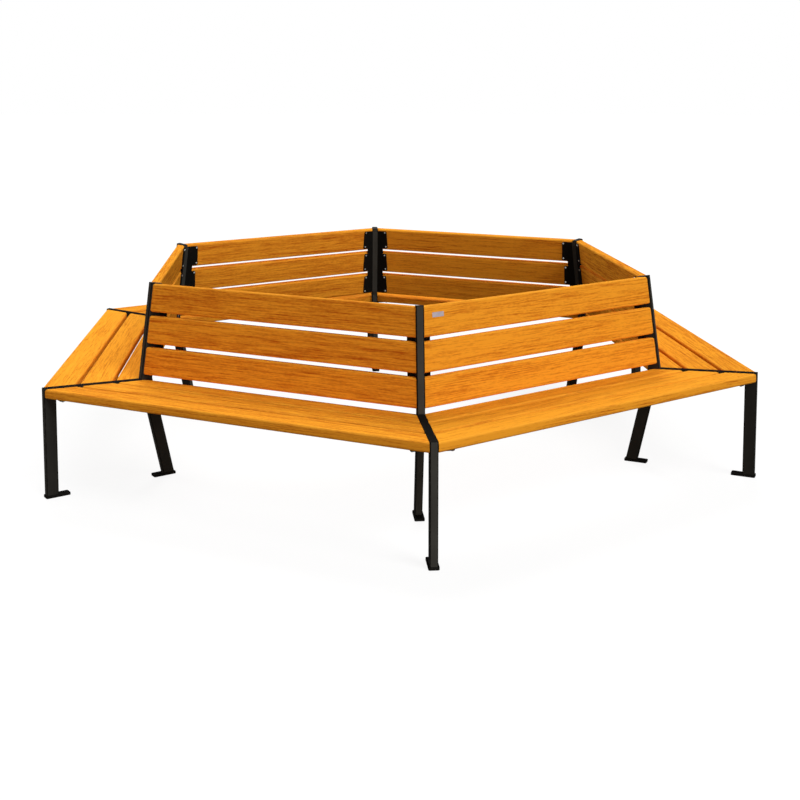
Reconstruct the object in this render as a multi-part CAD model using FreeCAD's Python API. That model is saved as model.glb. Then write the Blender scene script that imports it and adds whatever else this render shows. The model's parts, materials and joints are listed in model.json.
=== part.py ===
"""Tree bench: a ring of six seats with backs, facing outwards round a tree.

Six welded steel frames stand at the corners of a hexagon. Each side between two frames carries
three back boards and three seat boards. The boards are screwed from behind and from below to
lobed plates on the frames, so their faces show no screws.

Frame of the part: origin on the ground at the centre of the ring, Z up, corner 1 towards -Y.
"""
import FreeCAD, Part
import math
import os
from FreeCAD import Vector

# Driving sizes, in millimetres, with angles in degrees

# Ring. The radius is that of the frames' outer top corners
corner_count = 6
frame_radius = 1700.0
seat_height = 460.0
seat_slope = 3.0

# Rectangular tube of the frames. Its rolled corners are modelled as flat eased ones
tube_depth = 50.0
tube_width = 30.0
tube_wall = 3.0
tube_corner_ease = 2.5
rear_leg_splay = 10.0
back_recline = 10.0
post_above_boards = 6.0

# Plastic cap in the open top of each post
cap_lid = 3.0
cap_plug_depth = 14.0
cap_plug_clearance = 0.3

# Foot plates, each with a tongue that runs under the seat and takes a ground anchor
foot_plate_width = 40.0
foot_plate_thickness = 10.0
foot_plate_corner_ease = 4.0
outer_foot_overhang = 3.0
outer_foot_tongue = 48.0
inner_foot_overhang = 4.0
inner_foot_tongue = 45.0
anchor_hole_diameter = 14.0

# Boards. The edges of the face that is sat on or leaned on are rounded, the hidden ones eased
board_width = 117.0
board_thickness = 38.0
board_edge_radius = 9.0
hidden_edge_ease = 5.0
board_end_clearance = 1.0
seat_board_gap = 15.5
seat_edge_setback = 3.0
seat_tuck_under_back = 21.0
back_board_gap = 15.5
back_board_start = 20.0
seat_rows = ("outer", "middle", "inner")
back_rows = ("lower", "middle", "upper")

# Lobed plates that hold the boards. The widths are those past the bend or past the beam's side
plate_thickness = 5.0
back_plate_bend_radius = 5.0
back_lobe_width = 59.5
back_neck_width = 34.0
back_lobe_margin = 8.5
seat_lobe_width = 63.0
seat_neck_width = 30.0
seat_lobe_margin = 3.0
lobe_corner_ease = 5.0

# Wood screws with hexagon heads, which are the part of them that shows. They sit nearer to a
# lobe's upper edge, or to its inner end under the seat, than to the other one
screw_head_width = 8.0
screw_head_height = 4.0
screw_side_inset = 8.0
screw_lower_inset = 12.0
screw_upper_inset = 7.0

# Blank plate on one top board
blank_plate_length = 54.0
blank_plate_height = 19.0
blank_plate_thickness = 1.0
blank_plate_corner_ease = 1.5
blank_plate_from_board_end = 64.5
blank_plate_below_board_top = 37.0

# Directions. A frame is drawn at corner 1: across it is X, outwards is -Y
corner_angle = 360.0 / corner_count
half_angle = math.radians(corner_angle / 2)
slope = math.radians(seat_slope)
recline = math.radians(back_recline)
splay = math.radians(rear_leg_splay)
MIDDLE = Vector(0, 0, 0)
X = Vector(1, 0, 0)
UP = Vector(0, 0, 1)
beam_in = Vector(0, math.cos(slope), -math.sin(slope))
outer_leg_down = Vector(0, -math.sin(slope), -math.cos(slope))
post_up = Vector(0, math.sin(recline), math.cos(recline))
post_in = Vector(0, math.cos(recline), -math.sin(recline))
rear_leg_down = Vector(0, math.sin(splay), -math.cos(splay))
rear_leg_in = Vector(0, math.cos(splay), math.sin(splay))

# Lie of the seat boards. A side is drawn with its middle towards -Y, and a point's apothem is
# its level distance from the ring's axis, square to the side. The boards and the plates below
# them share the depth of the beam evenly
half_tube = tube_width / 2
board_end_offset = half_tube + board_end_clearance
seat_board_drop = (tube_depth - board_thickness - plate_thickness) / 2
seat_tilt = math.atan(math.tan(slope) / math.cos(half_angle))
seat_in = Vector(0, math.cos(seat_tilt), -math.sin(seat_tilt))
seat_down = Vector(0, -math.sin(seat_tilt), -math.cos(seat_tilt))
seat_pitch = board_width + seat_board_gap
seat_span = len(seat_rows) * seat_pitch - seat_board_gap
corner_apothem = frame_radius * math.cos(half_angle)
seat_edge_apothem = (frame_radius - seat_edge_setback) * math.cos(half_angle)
seat_edge_apothem = seat_edge_apothem + board_end_offset * math.sin(half_angle)
seat_edge_rise = (seat_edge_apothem - corner_apothem) * math.tan(seat_tilt)
seat_edge_height = seat_height - seat_board_drop + seat_edge_rise

# Points on a frame's outline, through which the outer faces of the tubes pass
outer_corner = Vector(0, -frame_radius, seat_height)
seat_inner_apothem = seat_edge_apothem - seat_span * math.cos(seat_tilt)
knee_radius = (seat_inner_apothem + seat_tuck_under_back) / math.cos(half_angle)
knee = Vector(0, -knee_radius, seat_height - (frame_radius - knee_radius) * math.tan(slope))
back_pitch = board_width + back_board_gap
back_span = len(back_rows) * back_pitch - back_board_gap
post_length = back_board_start + back_span + post_above_boards

# Lie of the back boards. Their rear faces rest on the wings of the bent plate behind each post,
# which bends at the post's rear edges and runs along the two sides that meet there
bend_point = knee + post_in * tube_depth + X * half_tube
side_run = Vector(math.cos(half_angle), math.sin(half_angle), 0)
wing_out = side_run.cross(post_up).normalize()
wing_up = wing_out.cross(side_run).normalize()
post_slant = post_up.dot(side_run) / post_up.dot(wing_up)
back_tilt = math.atan(math.tan(recline) * math.cos(half_angle))
back_up = Vector(0, math.sin(back_tilt), math.cos(back_tilt))
back_out = Vector(0, -math.cos(back_tilt), math.sin(back_tilt))
bend_apothem = -bend_point.y * math.cos(half_angle) + bend_point.x * math.sin(half_angle)
back_foot = Vector(0, -bend_apothem, bend_point.z) + back_out * board_thickness
first_back_edge = (knee.z - back_foot.z) / back_up.z + back_board_start

# Size of the blocks that cut the tubes, larger than the whole bench
block_size = 4 * frame_radius


# Shapes

def rounded(radius):
    """Return the way to round a corner of an outline."""
    return ("round", radius)


def eased(cut):
    """Return the way to cut a corner of an outline off flat, measured along each side."""
    return ("flat", cut)


SHARP = None


def outline(corners, trims):
    """Return a closed wire through flat corners, each left sharp, rounded or eased."""
    turns = []
    for i, (corner, trim) in enumerate(zip(corners, trims)):
        if trim is SHARP:
            turns.append((corner, None, corner))
            continue
        kind, size = trim
        to_last = (corners[i - 1] - corner).normalize()
        to_next = (corners[(i + 1) % len(corners)] - corner).normalize()
        if kind == "flat":
            turns.append((corner + to_last * size, None, corner + to_next * size))
            continue
        half_turn = to_last.getAngle(to_next) / 2
        tangent = size / math.tan(half_turn)
        to_arc = (to_last + to_next).normalize() * (size / math.sin(half_turn) - size)
        turns.append((corner + to_last * tangent, corner + to_arc, corner + to_next * tangent))
    edges = []
    for i, (start, arc_middle, end) in enumerate(turns):
        if arc_middle is not None:
            edges.append(Part.Arc(start, arc_middle, end).toShape())
        elif start != end:
            edges.append(Part.makeLine(start, end))
        edges.append(Part.makeLine(end, turns[(i + 1) % len(turns)][0]))
    return Part.Wire(edges)


def prism(corners, trims, sweep):
    """Return the solid that a flat outline sweeps."""
    return Part.Face(outline(corners, trims)).extrude(sweep)


def bar(corner, side_a, side_b, trims, sweep):
    """Return a straight bar whose rectangular section has one corner and two sides given."""
    corners = [corner, corner + side_a, corner + side_a + side_b, corner + side_b]
    return prism(corners, trims, sweep)


def beyond(point, direction):
    """Return a block that fills the space on the far side of a plane square to a direction."""
    block = Part.makeBox(block_size, block_size, block_size, Vector(-block_size / 2, -block_size / 2, 0))
    block.Placement = FreeCAD.Placement(point, FreeCAD.Rotation(UP, direction))
    return block


def with_mirror_image(shape):
    """Return a shape and its mirror image on the other side of the frame's plane."""
    return [shape, shape.mirror(MIDDLE, X)]


def at_corner(shape, index):
    """Return a shape drawn at corner 1, turned to the corner that is index corners on."""
    return shape.rotated(MIDDLE, UP, corner_angle * index)


def at_every_corner(shape):
    """Return copies of a shape drawn at corner 1, one at every corner."""
    return [at_corner(shape, index) for index in range(corner_count)]


def on_side(shape, index):
    """Return a shape drawn with its side towards -Y, turned to the side that follows a corner."""
    return shape.rotated(MIDDLE, UP, corner_angle * (index + 0.5))


# Frames

def down_to_level(start, direction, level):
    """Return the point where a line from start reaches a height."""
    return start + direction * ((level - start.z) / direction.z)


def filled_tube(start, end, inward):
    """Return a tube's outer form. Start and end lie on the middle of its outer face."""
    trims = [eased(tube_corner_ease)] * 4
    return bar(start - X * half_tube, X * tube_width, inward * tube_depth, trims, end - start)


def tube_bore(start, end, inward, gap):
    """Return the form that fills a tube's bore, less a gap all round."""
    inset = tube_wall + gap
    corner = start - X * (half_tube - inset) + inward * inset
    across = X * (tube_width - 2 * inset)
    through = inward * (tube_depth - 2 * inset)
    return bar(corner, across, through, [SHARP] * 4, end - start)


def hollow_tube(start, end, inward):
    """Return a straight open-ended tube."""
    return filled_tube(start, end, inward).cut(tube_bore(start, end, inward, 0))


def mitre_normal(first, second):
    """Return the direction square to the mitre of two tubes that leave a corner."""
    return (first - second).normalize()


def make_frame():
    """Weld one frame: a leg mitred to the seat beam, and a leg mitred to the post at the knee."""
    overrun = 2 * tube_depth
    ground = foot_plate_thickness

    outer_foot = down_to_level(outer_corner, outer_leg_down, ground)
    outer_leg_top = outer_corner - outer_leg_down * overrun
    outer_leg = hollow_tube(outer_leg_top, outer_foot + outer_leg_down * overrun, beam_in)
    outer_mitre = mitre_normal(beam_in, outer_leg_down)
    outer_leg = outer_leg.cut(beyond(outer_corner, outer_mitre))
    outer_leg = outer_leg.cut(beyond(outer_foot, UP * -1))

    rear_foot = down_to_level(knee, rear_leg_down, ground)
    rear_leg_ends = (knee - rear_leg_down * overrun, rear_foot + rear_leg_down * overrun)
    rear_leg = hollow_tube(*rear_leg_ends, rear_leg_in)
    knee_mitre = mitre_normal(post_up, rear_leg_down)
    rear_leg = rear_leg.cut(beyond(knee, knee_mitre))
    rear_leg = rear_leg.cut(beyond(rear_foot, UP * -1))

    beam = hollow_tube(outer_corner - beam_in * overrun, knee + beam_in * (tube_depth / 2), outer_leg_down)
    beam = beam.cut(beyond(outer_corner, outer_mitre * -1))
    beam = beam.cut(filled_tube(*rear_leg_ends, rear_leg_in))

    post = hollow_tube(knee - post_up * overrun, knee + post_up * (post_length - cap_lid), post_in)
    post = post.cut(beyond(knee, knee_mitre * -1))

    return outer_leg.fuse([beam, rear_leg, post]).removeSplitter()


def make_post_cap():
    """Make the cap on a post: a lid of the tube's outline over a plug in its bore."""
    seat = knee + post_up * (post_length - cap_lid)
    lid = filled_tube(seat, seat + post_up * cap_lid, post_in)
    plug = tube_bore(seat, seat - post_up * cap_plug_depth, post_in, cap_plug_clearance)
    return lid.fuse(plug)


# Foot plates

def make_foot_plate(radius_a, radius_b, hole_radius):
    """Make a plate along a frame between two radii, with an anchor hole at a third."""
    corner = Vector(-foot_plate_width / 2, -radius_a, 0)
    length = Vector(0, radius_a - radius_b, 0)
    trims = [eased(foot_plate_corner_ease)] * 4
    plate = bar(corner, X * foot_plate_width, length, trims, UP * foot_plate_thickness)
    hole = Part.makeCylinder(anchor_hole_diameter / 2, foot_plate_thickness, Vector(0, -hole_radius, 0))
    return plate.cut(hole)


def make_outer_foot_plate():
    """Make the plate under an outer leg, which overhangs the leg outwards."""
    leg_outer = -down_to_level(outer_corner, outer_leg_down, 0).y
    leg_inner = leg_outer - tube_depth / math.cos(slope)
    plate_inner = leg_inner - outer_foot_tongue
    hole_radius = leg_inner - outer_foot_tongue / 2
    print("outer anchor holes at radius", round(hole_radius, 3))
    return make_foot_plate(leg_outer + outer_foot_overhang, plate_inner, hole_radius)


def make_inner_foot_plate():
    """Make the plate under a rear leg, which overhangs the leg inwards."""
    leg_outer = -down_to_level(knee, rear_leg_down, 0).y
    leg_inner = leg_outer - tube_depth / math.cos(splay)
    hole_radius = leg_outer + inner_foot_tongue / 2
    print("inner anchor holes at radius", round(hole_radius, 3))
    return make_foot_plate(leg_outer + inner_foot_tongue, leg_inner - inner_foot_overhang, hole_radius)


# Boards

def room_between_frames():
    """Return the wedge of space between the side faces of two frames, less the end clearances."""
    far = 2 * frame_radius
    half_width = far * math.tan(half_angle) - board_end_offset / math.cos(half_angle)
    apex = Vector(0, -board_end_offset / math.sin(half_angle), 0)
    corners = [apex, Vector(-half_width, -far, 0), Vector(half_width, -far, 0)]
    return prism(corners, [SHARP] * 3, UP * (seat_height + post_length))


def board(face_edge, along_width, through, index):
    """Make one board of a side. Its ends are compound mitres, cut by the planes of the frames."""
    length = X * (2 * frame_radius)
    trims = [rounded(board_edge_radius)] * 2 + [eased(hidden_edge_ease)] * 2
    start = face_edge - length / 2
    plank = bar(start, along_width * board_width, through * board_thickness, trims, length)
    return on_side(plank.common(room_between_frames()), index)


def seat_board(row, index):
    """Make a seat board, counted from the outer edge."""
    face_edge = Vector(0, -seat_edge_apothem, seat_edge_height) + seat_in * (row * seat_pitch)
    return board(face_edge, seat_in, seat_down, index)


def back_board(row, index):
    """Make a back board, counted from the seat up."""
    face_edge = back_foot + back_up * (first_back_edge + row * back_pitch)
    return board(face_edge, back_up, back_out * -1, index)


# Plates behind the posts. A place on a wing is given by its reach along the side and its height
# up the boards, from the foot of the bend

def on_wing(reach, height):
    """Return a point on the face of the right wing that the boards rest on."""
    return bend_point + side_run * reach + wing_up * height


def bend_reach(height):
    """Return the reach of the bend itself, which follows the reclined post."""
    return post_slant * height


def back_lobe_heights(row):
    """Return the heights between which a lobe lies: its board's edges, less a margin."""
    edge = first_back_edge + row * back_pitch
    return edge + back_lobe_margin, edge + board_width - back_lobe_margin


def back_lobe_reach(row):
    """Return the reach of a lobe's outer edge, which is square to its board."""
    low, high = back_lobe_heights(row)
    return bend_reach((low + high) / 2) + back_lobe_width


def comb(lobes, neck_points):
    """Return the corners and trims of a comb's outer edge: eased lobes with sharp necks between."""
    corners = []
    trims = []
    for row, lobe in enumerate(lobes):
        if row > 0:
            corners.append(neck_points[row][0])
            trims.append(SHARP)
        corners.extend(lobe)
        trims.extend([eased(lobe_corner_ease)] * 2)
        if row < len(lobes) - 1:
            corners.append(neck_points[row][1])
            trims.append(SHARP)
    return corners, trims


def wing_outline():
    """Return a wing's outline: lobes behind the boards, necks between, its root past the bend."""
    lobes = []
    necks = []
    for row in range(len(back_rows)):
        heights = back_lobe_heights(row)
        reach = back_lobe_reach(row)
        lobes.append([on_wing(reach, height) for height in heights])
        necks.append([on_wing(bend_reach(height) + back_neck_width, height) for height in heights])
    corners, trims = comb(lobes, necks)
    lowest = back_lobe_heights(0)[0]
    highest = back_lobe_heights(len(back_rows) - 1)[1]
    corners.extend([on_wing(-tube_width, highest), on_wing(-tube_width, lowest)])
    trims.extend([SHARP] * 2)
    return corners, trims


def make_back_plate():
    """Bend a strip, cut its right half to the wing's outline, and add the mirrored left half."""
    wing_run = (side_run - post_up * side_run.dot(post_up)).normalize()
    bend = X.getAngle(wing_run)
    wing_end = bend_point + wing_run * (2 * back_lobe_width)
    post_rear = knee + post_in * tube_depth
    tree_side_bend = bend_point + post_in * plate_thickness - X * (plate_thickness * math.tan(bend / 2))
    section = [
        post_rear,
        bend_point,
        wing_end,
        wing_end - wing_out * plate_thickness,
        tree_side_bend,
        post_rear + post_in * plate_thickness,
    ]
    trims = [SHARP] * 6
    trims[1] = rounded(back_plate_bend_radius + plate_thickness)
    trims[4] = rounded(back_plate_bend_radius)
    strip = prism(section, trims, post_up * (2 * post_length))
    corners, outline_trims = wing_outline()
    reach_through = wing_out * back_lobe_width
    cutter = prism([corner + reach_through for corner in corners], outline_trims, reach_through * -2)
    half = strip.common(cutter)
    return half.fuse(half.mirror(MIDDLE, X)).removeSplitter()


# Plates under the seat boards, one on each side of a beam, with lobes cut square to the beam

def below_seat(across, radius, depth):
    """Return the point at a depth below the seat's top plane, on the side right of corner 1."""
    apothem = radius * math.cos(half_angle) + across * math.sin(half_angle)
    top = seat_edge_height - (seat_edge_apothem - apothem) * math.tan(seat_tilt)
    return Vector(across, -radius, top - depth / math.cos(seat_tilt))


def seat_lobe_radii(row):
    """Return the radii of a lobe's outer and inner ends, which keep it below its board."""
    board_outer = seat_edge_apothem - row * seat_pitch * math.cos(seat_tilt)
    board_inner = board_outer - board_width * math.cos(seat_tilt)
    outer_tip = (half_tube + seat_lobe_width) * math.sin(half_angle)
    outer = (board_outer - seat_lobe_margin - outer_tip) / math.cos(half_angle)
    inner = (board_inner + seat_lobe_margin - half_tube * math.sin(half_angle)) / math.cos(half_angle)
    return outer, inner


def seat_plate_outline():
    """Return a seat plate's outline in plan, with its root along the beam's side."""
    lobes = []
    necks = []
    for row in range(len(seat_rows)):
        radii = seat_lobe_radii(row)
        lobes.append([Vector(half_tube + seat_lobe_width, -radius, 0) for radius in radii])
        necks.append([Vector(half_tube + seat_neck_width, -radius, 0) for radius in radii])
    corners, trims = comb(lobes, necks)
    outer_end = seat_lobe_radii(0)[0]
    inner_end = seat_lobe_radii(len(seat_rows) - 1)[1]
    corners.extend([Vector(half_tube, -inner_end, 0), Vector(half_tube, -outer_end, 0)])
    trims.extend([SHARP] * 2)
    return corners, trims


def make_seat_plate():
    """Cut a frame's right-hand plate out of the layer just below the seat boards."""
    start = Vector(-frame_radius, -seat_edge_apothem, seat_edge_height) + seat_down * board_thickness
    across = X * (2 * frame_radius)
    layer = bar(start, across, seat_in * frame_radius, [SHARP] * 4, seat_down * plate_thickness)
    corners, trims = seat_plate_outline()
    return on_side(layer, 0).common(prism(corners, trims, UP * seat_height))


# Screw heads

def screw_head(centre, outward, across_flats):
    """Make a hexagon head that stands on a face, with two flats square to a direction."""
    to_vertex = outward.cross(across_flats).normalize() * (screw_head_width / math.sqrt(3))
    corners = []
    for turn in range(6):
        corners.append(centre + FreeCAD.Rotation(outward, 60 * turn).multVec(to_vertex))
    return prism(corners, [SHARP] * 6, outward * screw_head_height)


def make_back_screws():
    """Make the heads on one back plate: two on each lobe, near its outer corners."""
    heads = []
    for row in range(len(back_rows)):
        low, high = back_lobe_heights(row)
        reach = back_lobe_reach(row) - screw_side_inset
        for height in (low + screw_lower_inset, high - screw_upper_inset):
            place = on_wing(reach, height) - wing_out * plate_thickness
            heads.extend(with_mirror_image(screw_head(place, wing_out * -1, side_run)))
    return heads


def make_seat_screws():
    """Make the heads below one frame's two seat plates: two on each lobe."""
    downward = FreeCAD.Rotation(UP, corner_angle / 2).multVec(seat_down)
    across = half_tube + seat_lobe_width - screw_side_inset
    heads = []
    for row in range(len(seat_rows)):
        outer, inner = seat_lobe_radii(row)
        for radius in (outer - screw_lower_inset, inner + screw_upper_inset):
            place = below_seat(across, radius, board_thickness + plate_thickness)
            heads.extend(with_mirror_image(screw_head(place, downward, side_run)))
    return heads


# Blank plate on the front face of the top board that follows corner 1

def make_blank_plate():
    """Make the thin plate, level with the board."""
    height = first_back_edge + back_span - blank_plate_below_board_top
    to_face = wing_out * board_thickness
    board_end = (board_end_offset - (on_wing(0, height) + to_face).x) / side_run.x
    middle = on_wing(board_end + blank_plate_from_board_end, height) + to_face
    length = side_run * blank_plate_length
    rise = wing_up * blank_plate_height
    trims = [eased(blank_plate_corner_ease)] * 4
    return bar(middle - length / 2 - rise / 2, length, rise, trims, wing_out * blank_plate_thickness)


# Write one file for each sub-part

def save(name, solids):
    """Write a sub-part. A sub-part of like pieces holds one solid for each piece."""
    shape = solids[0] if len(solids) == 1 else Part.makeCompound(solids)
    shape.exportStep("parts/" + name + ".step")


os.makedirs("parts", exist_ok=True)
frame = make_frame()
back_plate = make_back_plate()
seat_plates = with_mirror_image(make_seat_plate())
for index in range(corner_count):
    number = str(index + 1)
    save("frame_" + number, [at_corner(frame, index)])
    save("back_plate_" + number, [at_corner(back_plate, index)])
    save("seat_plates_" + number, [at_corner(plate, index) for plate in seat_plates])
    for row, row_name in enumerate(seat_rows):
        save("seat_board_" + number + "_" + row_name, [seat_board(row, index)])
    for row, row_name in enumerate(back_rows):
        save("back_board_" + number + "_" + row_name, [back_board(row, index)])

save("outer_foot_plates", at_every_corner(make_outer_foot_plate()))
save("inner_foot_plates", at_every_corner(make_inner_foot_plate()))
save("post_caps", at_every_corner(make_post_cap()))
save("back_screws", [copy for head in make_back_screws() for copy in at_every_corner(head)])
save("seat_screws", [copy for head in make_seat_screws() for copy in at_every_corner(head)])
save("blank_plate", [make_blank_plate()])
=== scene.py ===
# %% [markdown]
# Tree bench: a hexagonal ring of six wooden seats with backs, carried by six welded steel frames.
#
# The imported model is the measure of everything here. It is loaded first and never moved. Each of
# its pieces is made again in finer mesh code, with rounder edges, welds and a finish, and stands
# exactly where its solids stand. All lengths are in metres and Z is up.

# %% Load the frame
import json
import math
import random

import bmesh
import bpy
from mathutils import Matrix, Vector
from mathutils.geometry import intersect_plane_plane

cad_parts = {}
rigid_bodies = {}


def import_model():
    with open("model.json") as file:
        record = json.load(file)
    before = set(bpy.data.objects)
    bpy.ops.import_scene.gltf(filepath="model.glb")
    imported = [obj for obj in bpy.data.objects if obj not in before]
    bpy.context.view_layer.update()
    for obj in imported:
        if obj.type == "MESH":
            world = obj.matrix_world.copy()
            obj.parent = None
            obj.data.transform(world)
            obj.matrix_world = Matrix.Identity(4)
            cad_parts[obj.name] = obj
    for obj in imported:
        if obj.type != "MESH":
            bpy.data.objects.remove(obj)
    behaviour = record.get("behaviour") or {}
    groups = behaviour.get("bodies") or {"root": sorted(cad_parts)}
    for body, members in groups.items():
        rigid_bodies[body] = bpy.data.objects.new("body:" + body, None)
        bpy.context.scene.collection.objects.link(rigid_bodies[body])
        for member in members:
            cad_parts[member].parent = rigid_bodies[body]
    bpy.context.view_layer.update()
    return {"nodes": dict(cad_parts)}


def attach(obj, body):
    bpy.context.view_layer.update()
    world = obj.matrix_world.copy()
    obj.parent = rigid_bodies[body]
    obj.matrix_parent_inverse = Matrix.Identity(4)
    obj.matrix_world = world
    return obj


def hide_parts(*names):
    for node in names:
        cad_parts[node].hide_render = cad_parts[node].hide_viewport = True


for stray in list(bpy.data.objects):
    bpy.data.objects.remove(stray)
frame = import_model()

# %% [markdown]
# Shader maths reads best as ordinary sums. This small class wraps the output of a node, so that
# `1 - mask` or `rings * 0.5 + fibre` adds the Math nodes by itself. Sums on vectors become Vector
# Math nodes, because a Math node would turn a vector or a colour grey. Every other kind of node
# comes from the one method `node`.

# %% A wire between nodes
class Wire:
    """A node's output, ready for Python sums. A wire with no socket only starts a material."""

    def __init__(self, tree, socket=None):
        self.tree = tree
        self.socket = socket

    def node(self, kind, settings=None, inputs=None, output=0):
        """Add a node, then its settings, then the values or links of its inputs."""
        made = self.tree.nodes.new(kind)
        for name, value in (settings or {}).items():
            setattr(made, name, value)
        for key, value in (inputs or {}).items():
            if isinstance(value, Wire):
                self.tree.links.new(value.socket, made.inputs[key])
            else:
                made.inputs[key].default_value = value
        return Wire(self.tree, made.outputs[output] if len(made.outputs) else None)

    def maths(self, operation, *values):
        """Add a Math node, or a Vector Math node if any of the values is a vector."""
        kind = "ShaderNodeMath"
        if any(is_vector(value) for value in values):
            kind = "ShaderNodeVectorMath"
            values = [(value,) * 3 if is_number(value) else value for value in values]
        return self.node(kind, {"operation": operation}, dict(enumerate(values)))

    def __add__(self, other):
        return self.maths("ADD", self, other)

    def __radd__(self, other):
        return self.maths("ADD", other, self)

    def __sub__(self, other):
        return self.maths("SUBTRACT", self, other)

    def __rsub__(self, other):
        return self.maths("SUBTRACT", other, self)

    def __mul__(self, other):
        return self.maths("MULTIPLY", self, other)

    def __rmul__(self, other):
        return self.maths("MULTIPLY", other, self)


def is_number(value):
    """Tell whether a value of a sum is a plain number."""
    return isinstance(value, (int, float))


def is_vector(value):
    """Tell whether a value of a sum is a vector."""
    return value.socket.type == "VECTOR" if isinstance(value, Wire) else isinstance(value, tuple)


# %% [markdown]
# A few mixtures come back in every finish: noise stretched along a direction, a soft step from 0
# to 1, and a blend of two colours. So do two things to start from: the place of a point on the
# bench, and a value that was stored on the points of a mesh. Giving all of them short names keeps
# the finishes themselves readable.

# %% Noise, soft steps and blends
def noise(place, waves, detail=2.0, roughness=0.5):
    """Return noise from 0 to 1, with so many waves a metre, the same or three along the axes."""
    inputs = {"Vector": place * waves, "Scale": 1.0, "Detail": detail, "Roughness": roughness}
    return place.node("ShaderNodeTexNoise", None, inputs)


def soft_step(value, low, high):
    """Return 0 below low, 1 above high and an S-shaped climb between them."""
    settings = {"interpolation_type": "SMOOTHSTEP"}
    inputs = {"Value": value, "From Min": low, "From Max": high}
    return value.node("ShaderNodeMapRange", settings, inputs)


def spread(value, low, high):
    """Return a value from 0 to 1 spread over another range."""
    return value.node("ShaderNodeMapRange", None, {"Value": value, "To Min": low, "To Max": high})


def blend(share, first, second):
    """Return the blend of two colours, where share is how much of the second there is."""
    colours = (first, second)
    colours = [value if isinstance(value, Wire) else (*value, 1.0) for value in colours]
    # The Mix node has sockets for each type of data. These are the ones that blend colours
    inputs = {0: share, 6: colours[0], 7: colours[1]}
    return share.node("ShaderNodeMix", {"data_type": "RGBA"}, inputs, output=2)


def relief(height, depth, strength):
    """Return the normal of a surface whose height varies by a depth in metres."""
    inputs = {"Height": height, "Distance": depth, "Strength": strength}
    return height.node("ShaderNodeBump", None, inputs)


def place_on_bench(start):
    """Return the place of a point, in metres from the middle of the ring."""
    return start.node("ShaderNodeTexCoord", output="Object")


def stored(start, name, output="Fac"):
    """Return what is stored on the points of the mesh under a name. A vector's output is Vector."""
    return start.node("ShaderNodeAttribute", {"attribute_name": name}, output=output)


def new_finish(name):
    """Return an empty material and the wire that starts its nodes."""
    material = bpy.data.materials.new(name)
    material.use_nodes = True
    material.node_tree.nodes.clear()
    return material, Wire(material.node_tree)


def finish_surface(start, inputs):
    """Add the surface shader with its values and links, and connect it to the output."""
    surface = start.node("ShaderNodeBsdfPrincipled", None, inputs)
    start.node("ShaderNodeOutputMaterial", None, {"Surface": surface})


# %% [markdown]
# The wood is a light softwood under a golden brown satin stain. A board is sawn from a log, so its
# figure is a slice through growth rings: nearly straight streaks towards the board's edges, and
# long flames where the rings run level with the face. An image could show that, but it would
# repeat and smear over the rounded edges. Here the rings are real ones in space: each board knows
# where it lay in its log, and the distance from the log's centre gives the ring. Fine fibres and
# short pores run along the board, and the stain lies a little unevenly. The rounded edges are made
# paler, partly as rubbed wear and partly as a painted highlight. Each part of the figure is noise
# with few waves along the board and many across it, and the strengths of the parts were found by
# setting close views beside the photograph.

# %% Stained wood
pale_wood = (0.92, 0.385, 0.028)
dark_wood = (0.50, 0.110, 0.006)
# Paler colour of the rounded edges: partly rubbed wear, partly a painted highlight.
rubbed_and_highlit_wood = (0.96, 0.43, 0.045)
stain_depth = 0.23
rings_per_metre = 150.0
taper_of_log = 0.011


def late_wood_of_rings(start, in_log):
    """Return how dark the growth rings are, from 0 to 1, where they show through the stain."""
    wander = noise(in_log, (0.9, 7.0, 7.0)) - 0.5
    ripple = noise(in_log, (4.0, 45.0, 45.0), 3.0) - 0.5
    along = start.node("ShaderNodeSeparateXYZ", None, {"Vector": in_log})
    inputs = {0: in_log * (0.0, 1.0, 1.0)}
    from_centre = start.node("ShaderNodeVectorMath", {"operation": "LENGTH"}, inputs, "Value")
    distance = from_centre + along * taper_of_log + wander * 0.020 + ripple * 0.0055
    ring = start.maths("FRACT", distance * rings_per_metre)
    dark_part = soft_step(ring, 0.35, 0.90) * (1 - soft_step(ring, 0.93, 1.0))
    return dark_part * soft_step(noise(in_log, (1.6, 22.0, 22.0)), 0.38, 0.62)


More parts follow.
